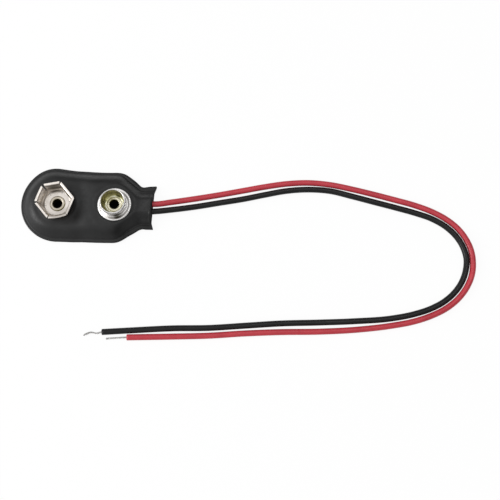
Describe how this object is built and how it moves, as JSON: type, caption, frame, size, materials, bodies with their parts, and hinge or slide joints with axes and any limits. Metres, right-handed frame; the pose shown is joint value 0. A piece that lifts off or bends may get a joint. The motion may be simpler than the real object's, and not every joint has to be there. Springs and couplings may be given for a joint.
{
  "type": "9v battery snap",
  "caption": "Soft vinyl battery clip with a six-petal spring socket and a round stud riveted to its face, and a red and a black lead with stripped ends leaving its neck.",
  "frame": {"origin": "midway between the two contacts, on the flat back face of the cover", "axes": "+X along the neck, the way the leads leave; +Y across the cover, to the left of that; +Z out of the face, the way the contacts point"},
  "size_m": [0.1023, 0.0382, 0.0061],
  "materials": {
    "vinyl": "soft black vinyl, fine leathery grain",
    "fibre": "brown vulcanised fibre",
    "nickel": "nickel plate, bright and lightly worn",
    "brass": "pale brass, lightly tarnished",
    "red_insulation": "satin red insulation",
    "black_insulation": "satin black insulation",
    "tinned_wire": "tinned copper strands",
    "solder": "dull solder"
  },
  "bodies": {
    "root": {"rear_cover": "vinyl", "front_cover": "vinyl", "contact_board": "fibre", "socket_contact": "nickel", "stud_contact": "nickel", "socket_rivet": "brass", "stud_rivet": "brass", "red_lead": "red_insulation", "black_lead": "black_insulation", "red_bare_end": "tinned_wire", "black_bare_end": "tinned_wire", "red_joint_end": "tinned_wire", "black_joint_end": "tinned_wire", "red_solder": "solder", "black_solder": "solder"}
  },
  "joints": []
}
